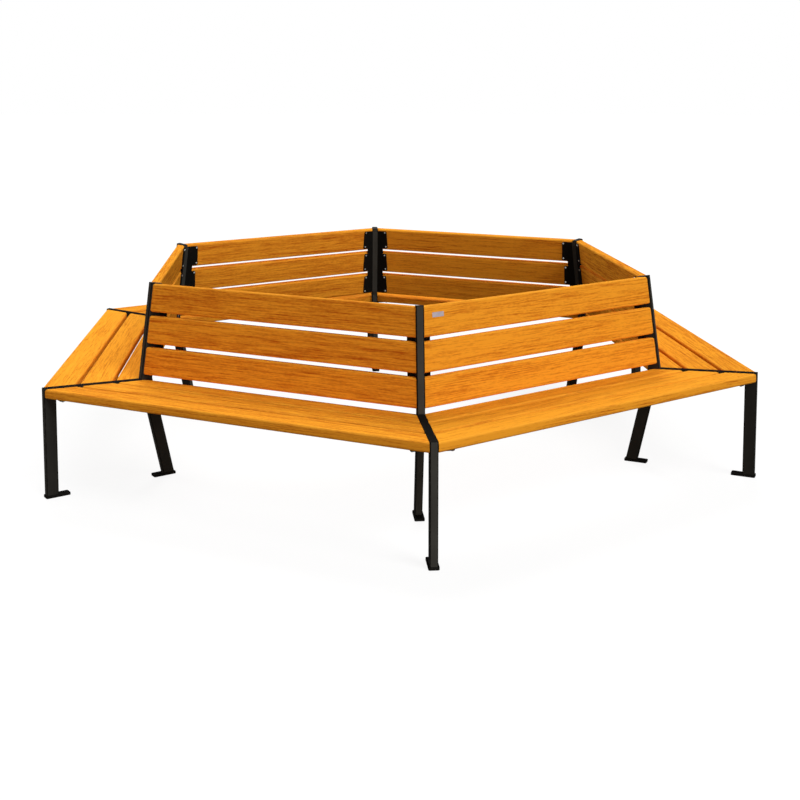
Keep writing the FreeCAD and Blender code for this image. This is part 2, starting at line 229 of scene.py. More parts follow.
def make_stained_wood():
    """Make the finish of the boards, which reads where each point lay in its board's log."""
    material, start = new_finish("stained_wood_finish")
    in_log = stored(start, "on_board", "Vector") + stored(start, "log_shift", "Vector")

    late_wood = late_wood_of_rings(start, in_log)
    band = noise(in_log, (1.3, 26.0, 26.0), 2.0) - 0.5
    streak = noise(in_log, (2.7, 100.0, 100.0), 3.0, 0.6) - 0.5
    line = noise(in_log, (9.0, 215.0, 215.0), 2.0, 0.6) - 0.5
    dash = soft_step(noise(in_log, (7.0, 150.0, 150.0), 1.0), 0.58, 0.70)
    fibre = noise(in_log, (24.0, 620.0, 620.0), 3.0, 0.6)
    pore = soft_step(noise(in_log, (38.0, 1500.0, 1500.0)), 0.62, 0.74)
    fleck = noise(in_log, (60.0, 190.0, 190.0)) - 0.5
    patch = noise(in_log, (1.7, 8.0, 8.0)) - 0.5

    edge_wear_and_highlight = stored(start, "edge_wear_and_highlight")
    handled = edge_wear_and_highlight * (noise(in_log, (9.0, 45.0, 45.0), 2.0) - 0.5)
    darkness = stain_depth + handled * 0.9 + band * 0.5 + streak * 1.25 + line * 1.8 + patch * 0.35
    darkness = darkness + (fibre - 0.5) * 0.8 + late_wood * 0.29 + dash * 0.27 + pore * 0.16
    darkness = darkness + fleck * 0.9 + stored(start, "tone")
    colour = blend(darkness, pale_wood, dark_wood)

    # Rounded edges made paler: partly rubbed wear, partly a painted highlight.
    rub_and_highlight = edge_wear_and_highlight * spread(noise(in_log, (6.0, 60.0, 60.0)), 0.0, 0.5)
    colour = blend(rub_and_highlight, colour, rubbed_and_highlit_wood)

    height = late_wood * 0.35 + fibre * 0.45 - pore * 0.8
    finish_surface(start, {
        "Base Color": colour,
        "Roughness": spread(fibre, 0.66, 0.82) - late_wood * 0.05,
        "Specular IOR Level": 0.005,
        "Normal": relief(height, 0.00007, 0.6),
    })
    return material


stained_wood = make_stained_wood()
print("wood", len(stained_wood.node_tree.nodes), "nodes")

# %% [markdown]
# The frames, the lobed plates and the foot plates are black powder coated steel. Powder is baked
# on, flows a little and dries with a fine orange-peel skin that breaks up every highlight. The
# skin is noise of about a millimetre, over a slower unevenness of the coat. On top of it lies a
# painted sheen, a dark grey that stands in for the sheen of a front light: most on the narrow
# faces of the tubes, which look straight out from the middle of the ring or straight in to it, a
# little on their sides, and not on the tops. The plates under the seats and the feet have a coat
# of their own with little of this painted sheen. The rounded edges are lightened in patches,
# partly as wear and partly as a painted highlight. The shader tells the faces apart by comparing
# the surface's own direction with the direction out from the middle. A pale studio is mirrored in
# a black coat as a haze wherever it is seen at a low angle, which the photograph doesn't show, so
# the specular level is kept very low.

# %% Black powder coat
coat_black = (0.0075, 0.0073, 0.0068)
coat_dusty = (0.0170, 0.0165, 0.0150)
# The grey of the painted sheen: light from the front, painted on the faces that look out or in.
painted_sheen_grey = (0.060, 0.062, 0.057)


def painted_sheen_of_faces(start, place):
    """Return how much painted sheen a face gets, from 0 to 1, by the way it looks."""
    normal = start.node("ShaderNodeTexCoord", output="Normal")
    outwards = start.maths("NORMALIZE", place * (1.0, 1.0, 0.0))

    def looks_along(direction):
        """Return how nearly the face looks along a direction or against it."""
        inputs = {0: normal, 1: direction}
        product = start.node("ShaderNodeVectorMath", {"operation": "DOT_PRODUCT"}, inputs, "Value")
        return start.maths("ABSOLUTE", product)

    looks_out, looks_up = looks_along(outwards), looks_along((0.0, 0.0, 1.0))
    narrow_face = soft_step(looks_out, 0.92, 0.985)
    side_face = soft_step(1 - looks_out - looks_up, 0.70, 0.90)
    return start.maths("MAXIMUM", narrow_face * 0.9, side_face * 0.36)


def make_powder_coat(name, sheen_share):
    """Make the finish of the steel. The share, from 0 to 1, is how much of the painted sheen it
    gets.
    """
    material, start = new_finish(name)
    place = place_on_bench(start)
    peel = noise(place, 620.0, 2.0)
    cloud = noise(place, 9.0, 3.0)
    dust = soft_step(noise(place, 55.0, 4.0, 0.65), 0.50, 0.85)
    unevenness = spread(noise(place, (14.0, 14.0, 7.0), 4.0, 0.6), 0.55, 1.35)
    # Painted sheen: faces that look out from the middle or in to it are greyed as if lit from the
    # front.
    painted_sheen = painted_sheen_of_faces(start, place) * unevenness * sheen_share
    # Rounded edges lightened in patches: partly wear of the coat, partly a painted highlight along
    # the edge.
    worn_and_highlit = stored(start, "edge_wear_and_highlight") * soft_step(noise(place, 70.0, 3.0), 0.45, 0.75)
    colour = blend(dust * 0.5 + cloud * 0.3, coat_black, coat_dusty)
    finish_surface(start, {
        "Base Color": blend(start.maths("MAXIMUM", painted_sheen, worn_and_highlit * 0.5), colour, painted_sheen_grey),
        "Roughness": spread(peel, 0.56, 0.68) + (cloud - 0.5) * 0.12 + painted_sheen * 0.08,
        "Specular IOR Level": 0.001,
        "Normal": relief(peel, 0.00018, 0.55),
    })
    return material


powder_coat = make_powder_coat("powder_coat_finish", sheen_share=1.0)
low_sheen_coat = make_powder_coat("low_sheen_coat_finish", sheen_share=0.15)
print("powder coat", len(powder_coat.node_tree.nodes), "nodes")

# %% [markdown]
# The caps in the post tops are moulded black plastic, duller than the coat, with the fine even
# grain of a textured mould.

# %% Black plastic
def make_cap_plastic():
    """Make the finish of the post caps."""
    material, start = new_finish("cap_plastic_finish")
    place = place_on_bench(start)
    inputs = {"Vector": place, "Scale": 1400.0}
    grain = start.node("ShaderNodeTexVoronoi", None, inputs, "Distance")
    cloud = noise(place, 35.0, 3.0)
    finish_surface(start, {
        "Base Color": blend(cloud, (0.005, 0.005, 0.005), (0.010, 0.010, 0.011)),
        "Roughness": spread(cloud, 0.5, 0.66),
        "Specular IOR Level": 0.02,
        "Normal": relief(grain, 0.00012, 0.5),
    })
    return material


cap_plastic = make_cap_plastic()
print("cap plastic", len(cap_plastic.node_tree.nodes), "nodes")

# %% [markdown]
# The screws are zinc plated: bright, with a faint cloudy crystal pattern and small turning marks.
# The blank plate is brushed aluminium, whose fine scratches all run along it.

# %% Zinc and brushed aluminium
zinc_shade, zinc_shine = (0.24, 0.24, 0.23), (0.46, 0.46, 0.44)
plate_shade, plate_shine = (0.24, 0.20, 0.215), (0.54, 0.47, 0.49)


def make_zinc():
    """Make the finish of the screws."""
    material, start = new_finish("zinc_finish")
    place = place_on_bench(start)
    inputs = {"Vector": place, "Scale": 420.0}
    crystal = start.node("ShaderNodeTexVoronoi", None, inputs, "Color")
    cloud = start.node("ShaderNodeSeparateColor", None, {"Color": crystal})
    scratch = noise(place, (2600.0, 2600.0, 900.0), 3.0)
    finish_surface(start, {
        "Base Color": blend(cloud, zinc_shade, zinc_shine),
        "Metallic": 1.0,
        "Roughness": spread(cloud, 0.30, 0.46),
        "Normal": relief(scratch, 0.00008, 0.5),
    })
    return material


def make_brushed_plate():
    """Make the finish of the blank plate. The scratches run along its side of the bench."""
    material, start = new_finish("brushed_plate_finish")
    place = place_on_bench(start)
    inputs = {"Vector": place, "Angle": math.radians(-30)}
    turned = start.node("ShaderNodeVectorRotate", {"rotation_type": "Z_AXIS"}, inputs)
    scratch = noise(turned, (40.0, 3000.0, 3000.0), 3.0, 0.6)
    cloud = noise(place, 60.0)
    finish_surface(start, {
        "Base Color": blend(scratch * 0.5 + cloud * 0.6, plate_shade, plate_shine),
        "Metallic": 1.0,
        "Roughness": spread(scratch, 0.28, 0.44) + (cloud - 0.5) * 0.1,
        "Normal": relief(scratch, 0.00006, 0.6),
    })
    return material


zinc = make_zinc()
brushed_plate = make_brushed_plate()
for finish in (zinc, brushed_plate):
    print(finish.name, len(finish.node_tree.nodes), "nodes")

# %% [markdown]
# A board is a rounded rectangle drawn out along its side and sawn off at both ends by the upright
# planes of the two frames. Because the board also leans, each end is a compound mitre. Sawing a
# long bar with two planes gives it exactly, whatever the lean, and the saw's sharp arrises are
# then broken by a small bevel. The size and the place of each board are read from its solid. The
# slopes of the seats, the backs and the rear legs are whole degrees.

# %% Sizes of the boards
corner_count = 6
corner_angle = math.radians(360 / corner_count)
half_angle = corner_angle / 2
seat_slope, back_recline, leg_splay = 3, 10, 10
seat_tilt = math.atan(math.tan(math.radians(seat_slope)) / math.cos(half_angle))
back_tilt = math.atan(math.tan(math.radians(back_recline)) * math.cos(half_angle))
board_edge_radius, board_edge_steps = 0.009, 5
sawn_arris = 0.0012
uncut_half_length = 2.0
side_run = Vector((1, 0, 0))
seat_in = Vector((0, math.cos(seat_tilt), -math.sin(seat_tilt)))
back_up = Vector((0, math.sin(back_tilt), math.cos(back_tilt)))
mitre_out = [Vector((sign * math.cos(half_angle), math.sin(half_angle), 0)) for sign in (1, -1)]


def turned_to_side(index):
    """Return the turn that takes a side drawn towards -Y to the side that follows a corner."""
    return Matrix.Rotation(corner_angle * (index + 0.5), 4, "Z")


def reach(points, direction):
    """Return how far points lie along a direction, lowest and highest."""
    places = [point.dot(direction) for point in points]
    return min(places), max(places)


def rounded_section(width, depth, radius, steps):
    """Return the points of a rounded rectangle round its centre, each with its edge mark for wear
    and highlight, 0 to 1.
    """
    points = []
    for corner, (sign_a, sign_b) in enumerate(((1, 1), (-1, 1), (-1, -1), (1, -1))):
        for step in range(steps + 1):
            angle = math.radians(90) * (corner + step / steps)
            a = sign_a * (width / 2 - radius) + radius * math.cos(angle)
            b = sign_b * (depth / 2 - radius) + radius * math.sin(angle)
            points.append((a, b, math.sin(math.pi * step / steps)))
    return points


print("boards lean by", round(math.degrees(seat_tilt), 2), "and", round(math.degrees(back_tilt), 2))

# %% [markdown]
# The bar is drawn as a skin of long faces, with no ends. Each cut takes away what lies beyond the
# saw's plane, and one face closes it. When a mesh is made into a piece, its faces are first turned
# to look outwards, and its normals are weighted by area, so that the flat sides stay flat and only
# the rounded edges shade round.

# %% Draw out a bar and saw it to length
def draw_bar(mesh, section, middle, along, across, through):
    """Add a long open bar of skin with the given section, much longer than any board."""
    ends = []
    for sign in (-1, 1):
        centre = middle + along * (sign * uncut_half_length)
        ends.append([mesh.verts.new(centre + across * a + through * b) for a, b, wear_and_highlight in section])
    count = len(section)
    for i in range(count):
        j = (i + 1) % count
        mesh.faces.new((ends[0][i], ends[1][i], ends[1][j], ends[0][j]))


def saw_off(mesh, point, outwards):
    """Cut away what lies beyond a plane, close the cut with one face and return its rim."""
    everything = mesh.verts[:] + mesh.edges[:] + mesh.faces[:]
    cut = bmesh.ops.bisect_plane(
        mesh, geom=everything, dist=1e-7, plane_co=point, plane_no=outwards, clear_outer=True)
    rim = [item for item in cut["geom_cut"] if isinstance(item, bmesh.types.BMEdge)]
    bmesh.ops.contextual_create(mesh, geom=rim)
    return rim


def break_arrises(mesh, edges, width):
    """Take the sharpness off edges with a small rounded bevel."""
    bmesh.ops.bevel(mesh, geom=edges, offset=width, segments=2, profile=0.5, affect="EDGES")


def to_piece(mesh, name, finish, nodes, smooth_below=25):
    """Turn a mesh into a named piece that rides on the bench and stands for its solids.

    Edges whose faces meet at less than smooth_below degrees shade smooth.
    """
    mesh.normal_update()
    bmesh.ops.recalc_face_normals(mesh, faces=mesh.faces[:])
    data = bpy.data.meshes.new(name)
    mesh.to_mesh(data)
    mesh.free()
    data.shade_smooth()
    data.set_sharp_from_angle(angle=math.radians(smooth_below))
    data.materials.append(finish)
    piece = bpy.data.objects.new(name, data)
    bpy.context.scene.collection.objects.link(piece)
    weighted = piece.modifiers.new("even_shading", "WEIGHTED_NORMAL")
    weighted.keep_sharp = True
    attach(piece, "root")
    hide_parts(*nodes)
    return piece


# %% [markdown]
# The boards of each side are set a little paler or darker than those of the next, as painted
# light and shade that sets how bright each side looks, and each board differs a little again at
# random. The front face and nose of each seat's outer board are painted paler still, as painted
# light where the lamps leave them darker. These tones are stored on the points of the mesh, so one
# finish serves all the boards, and a tone may change softly round an edge. More tone is darker.

# %% Tones of the boards
# Painted light and shade of each side's boards, seat and back, from the first side on; less is
# paler.
side_light_and_shade = {
    "seat": (-0.15, 0.04, 0.0, 0.0, -0.16, 0.04),
    "back": (-0.12, 0.12, -0.17, 0.11, 0.0, 0.08),
}
# Painted light: how much paler the front of each seat's outer board is made.
painted_nose_light = -0.13
tone_of_one_board = 0.03
edge_wear_and_highlight_climb = 3.0
log_length, furthest_sideways = 40, 0.05
nearest_to_centre, furthest_from_centre = 0.035, 0.15


def mark_wood(mesh, middle, axes, half_sizes, tones, chance):
    """Store on each point its place on the board, its place in the log, its tone and its edge mark
    for wear and highlight.

    Axes run along, across and through the board. Half sizes are those across and through it. Tones
    are the painted light and shade of the side, and the painted light that the board's outer edge
    has on top of it.
    """
    on_board = mesh.verts.layers.float_vector.new("on_board")
    log_shift = mesh.verts.layers.float_vector.new("log_shift")
    tone = mesh.verts.layers.float.new("tone")
    edge_wear_and_highlight = mesh.verts.layers.float.new("edge_wear_and_highlight")
    shift = Vector((
        chance.uniform(0, log_length),
        chance.uniform(-furthest_sideways, furthest_sideways),
        chance.uniform(nearest_to_centre, furthest_from_centre),
    ))
    if chance.random() < 0.5:
        shift.z = -shift.z
    # Painted light and shade of the side, with a little random tone of the board.
    board_tone = tones[0] + chance.uniform(-tone_of_one_board, tone_of_one_board)
    for vert in mesh.verts:
        away = vert.co - middle
        place = Vector([away.dot(axis) for axis in axes])
        vert[on_board] = place
        vert[log_shift] = shift
        # Painted light on the outer board's front face and nose.
        on_nose = (board_edge_radius - half_sizes[0] - place.y) / board_edge_radius
        vert[tone] = board_tone + tones[1] * min(1.0, max(0.0, on_nose))
        past_flats = min(abs(place[i]) - (half_sizes[i - 1] - board_edge_radius) for i in (1, 2))
        wear_and_highlight = past_flats / board_edge_radius * edge_wear_and_highlight_climb
        vert[edge_wear_and_highlight] = min(1.0, max(0.0, wear_and_highlight))


# %% [markdown]
# All thirty-six boards come from one function. A board is drawn in the place of the side that
# faces -Y, where its axes are simple, and is then turned to its own side. Its solid is turned the
# other way first, so that it can be measured there. The name of its node seeds its chances, so a
# board looks the same on every run.

# %% Make the boards
def make_board(node, index, across, tones, chance):
    """Make one board again over its solid: rounded on all four long edges, sawn at both ends."""
    turn = turned_to_side(index)
    unturn = turn.inverted()
    points = [unturn @ vert.co for vert in frame["nodes"][node].data.vertices]
    through = side_run.cross(across)
    low_a, high_a = reach(points, across)
    low_t, high_t = reach(points, through)
    width, thickness = high_a - low_a, high_t - low_t
    middle = across * ((low_a + high_a) / 2) + through * ((low_t + high_t) / 2)
    section = rounded_section(width, thickness, board_edge_radius, board_edge_steps)
    mesh = bmesh.new()
    draw_bar(mesh, section, middle, side_run, across, through)
    rims = [saw_off(mesh, out * reach(points, out)[1], out) for out in mitre_out]
    break_arrises(mesh, [edge for rim in rims for edge in rim], sawn_arris)
    axes, half_sizes = (side_run, across, through), (width / 2, thickness / 2)
    mark_wood(mesh, middle, axes, half_sizes, tones, chance)
    mesh.transform(turn)
    return to_piece(mesh, node.replace("_board", "_plank"), stained_wood, [node])


rows = {
    "seat": (seat_in, ("outer", "middle", "inner")),
    "back": (back_up, ("lower", "middle", "upper")),
}
boards = []
for index in range(corner_count):
    for kind, (across, names) in rows.items():
        for name in names:
            node = f"{kind}_board_{index + 1}_{name}"
            tones = (side_light_and_shade[kind][index], painted_nose_light if name == "outer" else 0.0)
            boards.append(make_board(node, index, across, tones, random.Random(node)))
print(len(boards), "boards of", len(boards[0].data.vertices), "points")

# %% [markdown]
# Each frame is welded from four lengths of rectangular tube. Tube is rolled from strip, so its
# corners are round, and that roundness draws the fine line of light along a black frame. Bevelling
# a box would do for one straight length, but not through a mitre, where two tubes share one ring
# of points. So a run of tube is drawn ring by ring: the lines of the rounded section are followed
# until they meet the plane of the cut. The planes themselves are read from the frame's solid.

# %% Lines of a frame
def leaning(degrees):
    """Return the direction that leans so far inwards from straight up, at the first corner."""
    angle = math.radians(degrees)
    return Vector((0, math.sin(angle), math.cos(angle)))


def meeting(normal_a, far_a, normal_b, far_b):
    """Return the point in the frame's plane where two of its outer faces meet."""
    point, line = intersect_plane_plane(normal_a * far_a, normal_a, normal_b * far_b, normal_b)
    return Vector((0, point.y, point.z))


tube_width, tube_depth = 0.030, 0.050
tube_corner_radius, tube_corner_steps = 0.0045, 4
straight_up = Vector((0, 0, 1))
beam_up, beam_in = leaning(seat_slope), leaning(90 + seat_slope)
post_up, post_in = leaning(back_recline), leaning(90 + back_recline)
rear_leg_down, rear_leg_in = leaning(180 - leg_splay), leaning(90 - leg_splay)

near_ground, above_seat = 0.1, 0.6
between_legs, at_outer_corner = -1.5, -1.6
frame_points = [vert.co for vert in frame["nodes"]["frame_1"].data.vertices]
ground_of_leg = min(point.z for point in frame_points)
foot_points = [point for point in frame_points if point.z < near_ground]
outer_foot_points = [point for point in foot_points if point.y < between_legs]
rear_foot_points = [point for point in foot_points if point.y > between_legs]
post_points = [point for point in frame_points if point.z > above_seat]
corner_points = [point for point in frame_points if point.y < at_outer_corner]

leg_front, beam_top = reach(outer_foot_points, beam_in)[0], reach(corner_points, beam_up)[1]
outer_corner = meeting(beam_in, leg_front, beam_up, beam_top)
post_front, post_top = reach(post_points, post_in)[0], reach(post_points, post_up)[1]
knee = meeting(post_in, post_front, rear_leg_in, reach(rear_foot_points, rear_leg_in)[0])
print("outer corner", outer_corner[:], "knee", knee[:])

# %% [markdown]
# A frame is two such runs: the outer leg with the beam under the seat, and the rear leg with the
# post behind the back. Where two tubes meet, the saw has halved the angle between them, so the
# plane of the cut stands square to the difference of their directions. The joint is ground after
# welding, which leaves its ring of points a little rounded.

# %% Draw a run of tube
tube_section = rounded_section(tube_width, tube_depth, tube_corner_radius, tube_corner_steps)
mitre_rounding, mitre_steps = 0.0016, 4


def ring_on_plane(start, inwards, along, plane_point, plane_normal):
    """Return the points where the lines of a tube through start meet the plane of a cut."""
    ring = []
    for a, b, wear_and_highlight in tube_section:
        point = start + side_run * a + inwards * (b + tube_depth / 2)
        way = (plane_point - point).dot(plane_normal) / along.dot(plane_normal)
        ring.append(point + along * way)
    return ring


def skin_rings(mesh, rings, wear_and_highlight=None):
    """Add a closed skin over rings of points, and return the rings of the mesh."""
    edge_wear_and_highlight = mesh.verts.layers.float["edge_wear_and_highlight"]
    made = [[mesh.verts.new(point) for point in ring] for ring in rings]
    for low, high in zip(made, made[1:]):
        for i in range(len(low)):
            j = (i + 1) % len(low)
            mesh.faces.new((low[i], low[j], high[j], high[i]))
    for end in (made[0], made[-1]):
        mesh.faces.new(end)
    for ring in made:
        for vert, worn_and_highlit in zip(ring, wear_and_highlight or ()):
            vert[edge_wear_and_highlight] = worn_and_highlit
    return made


def add_mitred_run(mesh, start, lower, upper, top_cut):
    """Add a leg and the tube mitred to it, and return the ring of points on the ground.

    Each of the two is given by its direction and its inward side.
    """
    (leg_along, leg_in), (tube_along, tube_in) = lower, upper
    ground = Vector((0, 0, ground_of_leg))
    rings = [
        ring_on_plane(start, leg_in, leg_along, ground, straight_up),
        ring_on_plane(start, leg_in, leg_along, start, tube_along - leg_along),
        ring_on_plane(start, tube_in, tube_along, *top_cut),
    ]
    made = skin_rings(mesh, rings, [wear_and_highlight for a, b, wear_and_highlight in tube_section])
    mitre = made[1]
    edges = [mesh.edges.get((mitre[i - 1], mitre[i])) for i in range(len(mitre))]
    bmesh.ops.bevel(mesh, geom=edges, offset=mitre_rounding, segments=mitre_steps,
                    profile=0.5, affect="EDGES")
    return rings[0]


# %% [markdown]
# The welds are what shows that a frame was made by hand. A bead is laid in small overlapping
# drops, so it is a thin roll with ripples and a slightly unsteady thickness, half sunk into the
# corner that it fills. Round the foot of each leg it closes on itself; under the seat it comes in
# short stitches that taper at both ends. The mitres are ground flush, so they have none. Where the
# stitches start and end is given in shares of the seat plate's length.

# %% Weld beads
weld_radius, weld_pitch, weld_sides = 0.0023, 0.0027, 7
rings_per_drop = 3
weld_ripple, weld_unsteadiness = 0.11, 0.04
thin_end, end_growth = 0.35, 0.16
stitch_places = (0.12, 0.5, 0.85)
stitch_half = 0.055
on_tube_side, at_plate_end = 1e-5, 1e-4


def even_steps(path, step):
    """Return points evenly spaced along a path, at least four of them."""
    lengths = [(b - a).length for a, b in zip(path, path[1:])]
    count = max(3, round(sum(lengths) / step))
    points, piece, passed = [], 0, 0.0
    for i in range(count + 1):
        place = sum(lengths) * i / count
        while piece < len(lengths) - 1 and place > passed + lengths[piece]:
            passed += lengths[piece]
            piece += 1
        points.append(path[piece].lerp(path[piece + 1], (place - passed) / lengths[piece]))
    return points


def add_weld(mesh, path, chance, closed=False):
    """Lay a rippled bead along a path. An open one tapers at both ends."""
    points = even_steps(path + path[:1] if closed else path, weld_pitch / rings_per_drop)
    if closed:
        points.pop()
    last = len(points) - 1
    rings = []
    for i, point in enumerate(points):
        if closed:
            before, after = points[i - 1], points[(i + 1) % len(points)]
        else:
            before, after = points[max(i - 1, 0)], points[min(i + 1, last)]
        side = (after - before).normalized().cross(straight_up).normalized()
        ripple = weld_ripple * math.cos(math.radians(360 / rings_per_drop * i))
        radius = weld_radius * (1 + ripple + chance.uniform(-weld_unsteadiness, weld_unsteadiness))
        if not closed:
            radius *= min(1.0, thin_end + end_growth * min(i, last - i))
        turns = [2 * math.pi * k / weld_sides for k in range(weld_sides)]
        rings.append([
            point + side * (radius * math.cos(turn)) + straight_up * (radius * math.sin(turn))
            for turn in turns])
    if not closed:
        skin_rings(mesh, rings)
        return
    made = [[mesh.verts.new(point) for point in ring] for ring in rings]
    for i, ring in enumerate(made):
        before = made[i - 1]
        for k in range(weld_sides):
            j = (k + 1) % weld_sides
            mesh.faces.new((before[k], before[j], ring[j], ring[k]))


def stitch_paths():
    """Return the short welds of a frame: at the knee, below it, and under both seat plates."""
    flat_half = tube_width / 2 - tube_corner_radius
    below_beam = knee - beam_up * tube_depth
    way = (knee - below_beam).dot(rear_leg_in) / beam_in.dot(rear_leg_in)
    places = (knee, below_beam + beam_in * way)
    paths = [[place - side_run * flat_half, place + side_run * flat_half] for place in places]

    plate_points = [vert.co for vert in frame["nodes"]["seat_plates_1"].data.vertices]
    roots = [point for point in plate_points if abs(point.x - tube_width / 2) < on_tube_side]
    outer_y, inner_y = reach(roots, Vector((0, 1, 0)))
    outer_roots = [root for root in roots if root.y < outer_y + at_plate_end]
    inner_roots = [root for root in roots if root.y > inner_y - at_plate_end]
    outer_end = min(outer_roots, key=lambda root: root.z)
    inner_end = min(inner_roots, key=lambda root: root.z)
    for middle in stitch_places:
        for sign in (-1, 1):
            shares = middle - stitch_half, middle + stitch_half
            ends = [outer_end.lerp(inner_end, share) for share in shares]
            paths.append([Vector((sign * end.x, end.y, end.z)) for end in ends])
    return paths


# %% [markdown]
# The two runs of a frame are separate skins. The beam's end lies just inside the round corners of
# the rear leg, so that no gap shows there. All six frames are alike, but the chances of their
# welds are not.

# %% Make the frames
beam_into_leg = tube_corner_radius - 0.0002


def make_frame(index):
    """Weld one frame from its two mitred runs."""
    chance = random.Random(f"frame {index + 1}")
    mesh = bmesh.new()
    mesh.verts.layers.float.new("edge_wear_and_highlight")
    into_rear_leg = knee + rear_leg_in * beam_into_leg
    feet = [
        add_mitred_run(mesh, outer_corner, (-beam_up, beam_in), (beam_in, -beam_up),
                       (into_rear_leg, rear_leg_in)),
        add_mitred_run(mesh, knee, (rear_leg_down, rear_leg_in), (post_up, post_in),
                       (post_up * post_top, post_up)),
    ]
    for foot in feet:
        add_weld(mesh, foot, chance, closed=True)
    for path in stitch_paths():
        add_weld(mesh, path, chance)
    mesh.transform(Matrix.Rotation(corner_angle * index, 4, "Z"))
    node = f"frame_{index + 1}"
    return to_piece(mesh, f"welded_{node}", powder_coat, [node], smooth_below=50)


frames = [make_frame(index) for index in range(corner_count)]
print(len(frames), "frames of", len(frames[0].data.vertices), "points")

# %% [markdown]
# The lobed plates, the foot plates and the blank plate are simpler: they are cut from plate, and
# their solids have the right outline but knife-sharp edges. Real plate has edges that the cutter
# and the coat have softened. The skin of the solid is taken over, its flat triangles are joined to
# whole faces, and then two bevels follow: a wide one that turns the eased corners of the outline
# into round ones, and a fine one along every edge that is left. The middle line of each bevel is
# marked for the coat's finish, which lightens it partly as wear and partly as a painted highlight.

# %% Soften the plates
lobe_arris, lobe_corner = 0.0006, 0.0018
foot_arris, foot_corner = 0.0008, 0.0015
blank_arris = 0.00025
joined_within, flat_within = 1e-6, math.radians(1)
eased_corner_turn, cut_edge_turn = (40, 50), 55


def skin_of(nodes):
    """Return the skin of solids, with their flat triangles joined to whole faces."""
    mesh = bmesh.new()
    for node in nodes:
        mesh.from_mesh(frame["nodes"][node].data)
    bmesh.ops.remove_doubles(mesh, verts=mesh.verts[:], dist=joined_within)
    bmesh.ops.dissolve_limit(
        mesh, angle_limit=flat_within, verts=mesh.verts[:], edges=mesh.edges[:])
    return mesh


def sharp_edges(mesh, lowest, highest=180.0):
    """Return the edges whose faces meet at an angle within limits, in degrees."""
    limits = math.radians(lowest), math.radians(highest)
    return [edge for edge in mesh.edges
            if len(edge.link_faces) == 2 and limits[0] < edge.calc_face_angle() < limits[1]]


def soften(nodes, name, finish, arris, corner_rounding=None):
    """Make plates again over their solids, with their corners rounded and their edges softened."""
    mesh = skin_of(nodes)
    if corner_rounding:
        corners = sharp_edges(mesh, *eased_corner_turn)
        bmesh.ops.bevel(mesh, geom=corners, offset=corner_rounding, segments=3,
                        profile=0.5, affect="EDGES")
    worn_and_highlit = bmesh.ops.bevel(mesh, geom=sharp_edges(mesh, cut_edge_turn), offset=arris, segments=2,
                           profile=0.5, affect="EDGES", clamp_overlap=True)
    edge_wear_and_highlight = mesh.verts.layers.float.new("edge_wear_and_highlight")
    bevelled = set(worn_and_highlit["faces"])
    for vert in mesh.verts:
        vert[edge_wear_and_highlight] = float(all(face in bevelled for face in vert.link_faces))
    return to_piece(mesh, name, finish, nodes, smooth_below=50)


plates = []
for number in range(1, corner_count + 1):
    plates.append(soften([f"back_plate_{number}"], f"bent_plate_{number}",
                         powder_coat, lobe_arris, lobe_corner))
    plates.append(soften([f"seat_plates_{number}"], f"seat_lobes_{number}",
                         low_sheen_coat, lobe_arris, lobe_corner))
for place in ("outer", "inner"):
    plates.append(soften([f"{place}_foot_plates"], f"{place}_feet",
                         low_sheen_coat, foot_arris, foot_corner))
plates.append(soften(["blank_plate"], "small_blank_plate",
                     brushed_plate, blank_arris))
print(len(plates), "softened pieces")

# %% [markdown]
# A cap is a moulded lid with the tube's own rounded outline and a soft upper edge. It is drawn as
# rings again, each a little smaller and higher than the last, round the top of the post. Two
# numbers give each ring: how far it lies inside the tube's outline, and how high above its end.

# %% Make the post caps
cap_rings = ((0.0, 0.0), (0.0, 0.0016), (0.0003, 0.0023), (0.0009, 0.0028), (0.0018, 0.0030),
             (0.0040, 0.0030))
least_cap_corner = 0.0015


def make_post_caps():
    """Make the lids of all six caps as one piece."""
    seat = knee + post_up * (post_top - knee.dot(post_up)) + post_in * (tube_depth / 2)
    mesh = bmesh.new()
    mesh.verts.layers.float.new("edge_wear_and_highlight")
    for index in range(corner_count):
        turn = Matrix.Rotation(corner_angle * index, 4, "Z")
        rings = []
        for inset, rise in cap_rings:
            radius = max(tube_corner_radius - inset, least_cap_corner)
            width, depth = tube_width - 2 * inset, tube_depth - 2 * inset
            outline = rounded_section(width, depth, radius, tube_corner_steps)
            rings.append([turn @ (seat + side_run * a + post_in * b + post_up * rise)
                          for a, b, wear_and_highlight in outline])
        skin_rings(mesh, rings)
    return to_piece(mesh, "moulded_post_caps", cap_plastic, ["post_caps"],
                    smooth_below=50)


post_caps = make_post_caps()
print("caps", len(post_caps.data.vertices), "points")

# %% [markdown]
# The screw heads are small hexagons with a turned crown: a cone cuts their six upper corners
# round. On a mesh the same form comes from one outline of twenty-four points that is a hexagon
# below and a circle above, where the far points, at the corners, start down sooner. Each head
# stands where its solid does, and turns as its solid does.

# %% Make the screw heads
head_points = 24
hexagon_half_angle = 30
cone_angle = math.radians(30)
crown_share, crown_top_share = 0.93, 0.8


def islands(mesh):
    """Yield the separate solids of a mesh as lists of points."""
    seen = set()
    for first in mesh.verts:
        if first in seen:
            continue
        island, waiting = [], [first]
        seen.add(first)
        while waiting:
            vert = waiting.pop()
            island.append(vert)
            for edge in vert.link_edges:
                other = edge.other_vert(vert)
                if other not in seen:
                    seen.add(other)
                    waiting.append(other)
        yield island


